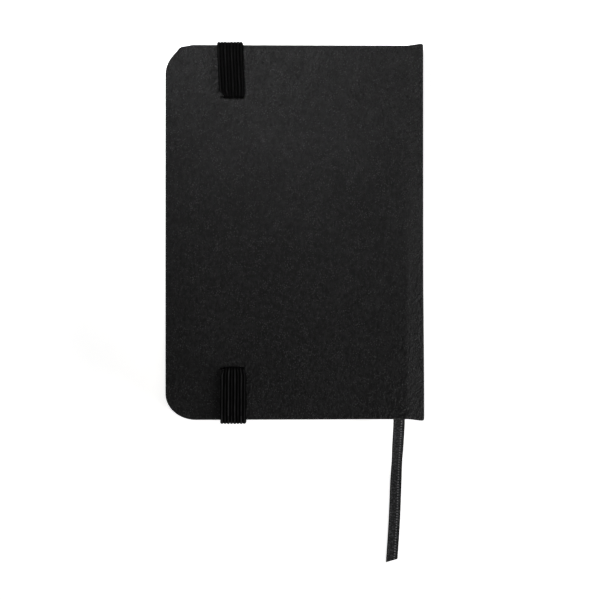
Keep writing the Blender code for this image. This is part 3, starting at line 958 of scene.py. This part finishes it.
def band_section(thickness):
    """Points round a ribbed band, as (across, lift): its upper side, then its lower side back again."""
    steps = BAND_RIBS * RIB_STEPS
    top = []
    for i in range(steps + 1):
        share = i / steps
        bulge = abs(math.sin(math.pi * BAND_RIBS * share)) ** RIB_ROUNDNESS
        if int(share * BAND_RIBS) % 2:
            bulge *= LOW_RIB
        edge = math.sqrt(max(1 - (2 * share - 1) ** EDGE_SQUARENESS, 0.0))
        lift = (thickness / 2 - GROOVE_DEPTH * (1 - bulge)) * mix(1 - EDGE_THINNING, 1.0, edge)
        top.append((BAND_WIDTH * (share - 0.5), lift))
    return top + [(across, -lift) for across, lift in reversed(top)]


def band_levels():
    """The levels and edges that the band goes round."""
    leg_low, leg_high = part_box("band_leg_head")
    span_low, span_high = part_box("band_front_span")
    return {
        "x": (span_low.x + span_high.x) / 2,
        "top_z": leg_high.z - BAND_THICKNESS / 2 - BAND_REST_DROP,
        "low_z": span_low.z + BAND_THICKNESS / 2,
        "slot_y": leg_low.y + BAND_THICKNESS / 2,
        "edge_y": COVER_HIGH.y,
        "join_y": COVER_HIGH.y - BAND_JOIN_INSET,
        "outer_z": COVER_HIGH.z,
    }


def band_lean(band, p):
    """The band doesn't cross the notebook quite squarely: it leans to the fore-edge at the head."""
    if p.z < (band["top_z"] + band["low_z"]) / 2:
        share = min(max(p.y / band["edge_y"] / 2 + 0.5, 0.0), 1.0)
        return mix(EDGE_LEAN["tail"], EDGE_LEAN["head"], share)
    end = "head" if p.y > 0 else "tail"
    out = smoothstep((abs(p.y) - band["slot_y"]) / (band["edge_y"] - band["slot_y"]))
    return mix(SLOT_LEAN[end], EDGE_LEAN[end], out)


def sweep_band(name, path, thicknesses, material, band, gather=None):
    """A ribbed band along a path in a plane of constant X, whose width runs along X."""
    along = path_lengths(path)
    sections = []
    for i, point in enumerate(path):
        lift = Vector((1, 0, 0)).cross(tangent_at(path, i))
        section = []
        for across, height in band_section(thicknesses[i]):
            p = point + Vector((across, 0, 0)) + lift * height
            p.x += band_lean(band, point)
            if gather:
                p += gather(across, along[i])
            section.append(p)
        sections.append(section)
    bm = bmesh.new()
    tube_rows(bm, sections)
    swept = finish_mesh(name, bm, material, sharp_angle=70)
    strip_coordinates(swept, along, [across for across, _ in band_section(BAND_THICKNESS)])
    return swept


def band_slots(band):
    """Each slot in the back cover: its centre, half its length and half its width."""
    slots = []
    for end, sign in ENDS.items():
        left, right = BAND_GATHER[end]
        centre = (band["x"] + SLOT_LEAN[end] + (left - right) / 2, sign * band["slot_y"])
        half_x = (BAND_WIDTH - left - right) / 2 + SLOT_PLAY
        slots.append((centre, half_x, BAND_NECK_THICKNESS / 2 + SLOT_PLAY))
    return slots


def build_band_leg(end, band, material):
    """From inside the slot, over its lip and along the back cover to just short of the edge."""
    sign = ENDS[end]
    slot_y, top_z = band["slot_y"], band["top_z"]
    bend = BAND_THICKNESS / 2 + LEG_TURN_MARGIN
    inside = [(slot_y, z) for z in np.linspace(band["outer_z"] - LEG_TUCKED_IN, top_z - bend, 5)[:-1]]
    turn = arc((slot_y + bend, top_z - bend), bend, 180, 90, 8)
    flat = [(y, top_z) for y in np.linspace(slot_y + bend, band["join_y"], 22)[1:]]
    path = [Vector((band["x"], sign * y, z)) for y, z in [*inside, *turn, *flat]]
    shares = [smoothstep((s - NECK_START) / NECK_LENGTH) for s in path_lengths(path)]
    thicknesses = [mix(BAND_NECK_THICKNESS, BAND_THICKNESS, share) for share in shares]
    left, right = BAND_GATHER[end]

    def gather(across, s):
        """The band draws in and rounds off towards its slot."""
        share = min(abs(2 * across / BAND_WIDTH), 1.0)
        near = 1 - smoothstep((s - GATHER_START) / GATHER_LENGTH)
        side = left if across < 0 else -right
        tuck = CORNER_TUCK * abs(side) / max(left, right)
        return Vector((side * share * near, sign * tuck * share**5 * near, 0))

    leg = sweep_band(f"band_leg_{end}_elastic", path, thicknesses, material, band, gather)
    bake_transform(leg)
    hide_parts(f"band_leg_{end}")


def build_band_loop(band, material):
    """From one leg's end over the head, across the front cover and over the tail to the other leg."""
    out_y = band["edge_y"]
    top_z, low_z = band["top_z"] - BAND_BEND, band["low_z"] + BAND_BEND
    over = arc((out_y, top_z), BAND_BEND, 90, 0, 7)
    wall = [(out_y + BAND_BEND, z) for z in np.linspace(top_z, low_z, 12)[1:-1]]
    under = arc((out_y, low_z), BAND_BEND, 0, -90, 7)
    half = [(band["join_y"], band["top_z"]), *over, *wall, *under]
    span = [(y, band["low_z"]) for y in np.linspace(out_y, -out_y, 70)[1:-1]]
    profile = [*half, *span, *[(-y, z) for y, z in reversed(half)]]
    path = [Vector((band["x"], y, z)) for y, z in profile]
    loop = sweep_band("band_loop", path, [BAND_THICKNESS] * len(path), material, band)
    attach(loop, "band")
    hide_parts("band_front_span", "band_wrap_head", "band_wrap_tail")
    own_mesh(loop)


# ---------------- ribbon


def sweep_ribbon(name, path, sides, widths, material):
    """A thin woven ribbon with slightly thicker selvedges, along a path with its own twist."""
    shape = [*RIBBON_SECTION, *[(-across, lift) for across, lift in reversed(RIBBON_SECTION[:-1])]]
    sections = []
    for i, point in enumerate(path):
        tangent = tangent_at(path, i)
        side = (sides[i] - tangent * sides[i].dot(tangent)).normalized()
        lift = tangent.cross(side) * RIBBON_THICKNESS / 2
        upper = [point + side * a * widths[i] + lift * b for a, b in shape]
        lower = [point + side * a * widths[i] - lift * b for a, b in reversed(shape)]
        sections.append([*upper, *lower])
    bm = bmesh.new()
    tube_rows(bm, sections)
    ribbon = finish_mesh(name, bm, material, sharp_angle=50)
    across = [a * RIBBON_WIDTH for a, _ in shape]
    strip_coordinates(ribbon, path_lengths(path), across + across[::-1])
    return ribbon


def slant_end(ribbon, rows):
    """The end is cut on a slant: its spine side is a little shorter."""
    mesh = ribbon.data
    count = len(mesh.vertices) // rows
    last = [mesh.vertices[i] for i in range((rows - 1) * count, rows * count)]
    middle = sum(v.co.x for v in last) / count
    for v in last:
        v.co.y += RIBBON_SLANT * (v.co.x - middle) / (RIBBON_WIDTH / 2)


def build_ribbon_tail(material):
    """The ribbon's free end: out between the pages, down to the table, with a lazy half twist."""
    path = smooth_path(RIBBON_ROUTE, 8)
    along = path_lengths(path)
    placed, sides = [], []
    for point, s in zip(path, along):
        turn = math.exp(-(((s / along[-1] - TILT_PLACE) / TILT_SPREAD) ** 2))
        tilt = math.radians(RIBBON_TILT) * turn
        sides.append(Vector((math.cos(tilt), 0, math.sin(tilt))))
        placed.append(point + Vector((0, 0, math.sin(tilt) * RIBBON_WIDTH / 2)))
    ribbon = sweep_ribbon("ribbon_free_end", placed, sides, [RIBBON_WIDTH] * len(placed), material)
    slant_end(ribbon, len(placed))
    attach(ribbon, "block")
    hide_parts("ribbon_tail")


def build_ribbon_run(material):
    """Glued on the spine, gathered as it turns over the head, then flat between the pages to the tail."""
    anchor_low, anchor_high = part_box("ribbon_anchor")
    run_low, run_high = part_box("ribbon_in_pages")
    z = (run_low.z + run_high.z) / 2
    glue_x = (anchor_low.x + anchor_high.x) / 2
    head_x = run_high.x - RIBBON_WIDTH / 2
    head_y = run_high.y
    upright, flat = Vector((0, 0, 1)), Vector((1, 0, 0))
    # Each knot has a place, the way that the ribbon's width points, and a share of its full width.
    knots = [
        ((glue_x, anchor_low.y, z), upright, 1.0),
        ((glue_x, head_y - 0.0030, z), upright, 1.0),
        ((glue_x, head_y - 0.0012, z), upright, 0.70),
        ((glue_x - 0.0004, head_y - 0.0004, z), upright, 0.45),
        ((glue_x - 0.0014, head_y - 0.0002, z), Vector((0.05, -0.1, 1)), 0.40),
        ((glue_x - 0.0026, head_y - 0.0003, z), Vector((0.25, -0.25, 0.8)), 0.40),
        ((head_x + 0.0001, head_y - 0.0008, z), Vector((1, -0.3, 0.35)), 0.48),
        ((head_x, head_y - 0.0018, z), flat, 0.80),
        ((head_x - 0.0001, head_y - 0.0034, z), flat, 1.0),
        ((mix(head_x, RIBBON_ROUTE[0][0], 0.5), 0.0, z), flat, 1.0),
        (RIBBON_ROUTE[0], flat, 1.0),
    ]
    steps = 6
    path = smooth_path([p for p, _, _ in knots], steps)
    sides, widths = [], []
    for (_, side, width), (_, next_side, next_width) in zip(knots, knots[1:]):
        for i in range(steps):
            sides.append(side.lerp(next_side, i / steps))
            widths.append(RIBBON_WIDTH * mix(width, next_width, i / steps))
    sides.append(flat)
    widths.append(RIBBON_WIDTH)
    ribbon = sweep_ribbon("ribbon_run", path, sides, widths, material)
    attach(ribbon, "block")
    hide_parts("ribbon_anchor", "ribbon_in_pages")


# ---------------- stage


def build_floor():
    bm = bmesh.new()
    bmesh.ops.create_grid(bm, x_segments=4, y_segments=4, size=FLOOR_SIZE)
    floor = finish_mesh("floor", bm, floor_material())


def add_area_light(name, place, target, size, energy, spread):
    """A round lamp that points at its target and isn't seen itself."""
    data = bpy.data.lights.new(name, "AREA")
    data.shape = "DISK"
    data.size = size
    data.energy = energy
    data.spread = math.radians(spread)
    lamp = bpy.data.objects.new(name, data)
    lamp.location = place
    lamp.visible_camera = False
    lamp.rotation_mode = "QUATERNION"
    lamp.rotation_quaternion = (Vector(target) - Vector(place)).to_track_quat("-Z", "Y")
    bpy.context.scene.collection.objects.link(lamp)


def light_stage():
    """An even studio, with a soft lamp at the head, one beside the spine and a far one at the fore-edge."""
    world = bpy.data.worlds.new("studio")
    world.use_nodes = True
    background = world.node_tree.nodes["Background"]
    background.inputs["Color"].default_value = (1.0, 1.0, 1.0, 1.0)
    background.inputs["Strength"].default_value = WORLD_LIGHT
    bpy.context.scene.world = world
    for light in LIGHTS:
        add_area_light(*light)
    bpy.context.scene.view_settings.view_transform = "Standard"


def add_camera():
    """Straight above the notebook, with its head at the top of the view."""
    data = bpy.data.cameras.new("camera")
    data.sensor_width = SENSOR_MM
    data.lens = SENSOR_MM * CAMERA_HEIGHT / VIEW_WIDTH
    data.clip_end = 10.0
    camera = bpy.data.objects.new("camera", data)
    camera.location = VIEW_CENTRE + Vector((0, 0, CAMERA_HEIGHT))
    bpy.context.scene.collection.objects.link(camera)
    bpy.context.scene.camera = camera


# ---------------- build


def dress(node, material):
    """Gives a CAD node that stays in view its material."""
    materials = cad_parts[node].data.materials
    materials.clear()
    materials.append(material)


add_camera()

leather = leather_material()
elastic = elastic_material("elastic_weave", True)
ribbon_cloth = ribbon_material()
plain_paper = paper_material("endpaper_ivory", ENDPAPER_IVORY, False)
ruled_paper = paper_material("ruled_ivory", LEAF_IVORY, True)

build_ribbon_tail(ribbon_cloth)
build_ribbon_run(ribbon_cloth)

band = band_levels()
build_cover_covering("back", UP, leather, band_slots(band))
build_cover_covering("front", DOWN, leather, [])
build_joint("back", UP, leather)
build_joint("front", DOWN, leather)
build_spine(leather)
build_endpaper("back", plain_paper)
build_endpaper("front", plain_paper)

for number in range(1, SIGNATURES + 1):
    build_signature(number, ruled_paper)
build_turning_leaf("front_flyleaf", plain_paper, FLYLEAF_BEND)
build_turning_leaf("back_flyleaf", plain_paper, LEAF_BEND)
build_turning_leaf("back_leaf_2", ruled_paper, LEAF_BEND)
build_turning_leaf("back_leaf_1", ruled_paper, LEAF_BEND)

build_band_leg("head", band, elastic)
build_band_leg("tail", band, elastic)
build_band_loop(band, elastic)

board = board_material()
glued_elastic = elastic_material("elastic_end", False)
cotton = thread_material()
for node in ("front_board", "back_board", "spine_strip"):
    dress(node, board)
dress("spine_mull", gauze_material())
for node in ("band_end_head", "band_end_tail"):
    dress(node, glued_elastic)
for number in range(1, 5):
    dress(f"sewing_thread_{number}", cotton)

build_floor()
light_stage()
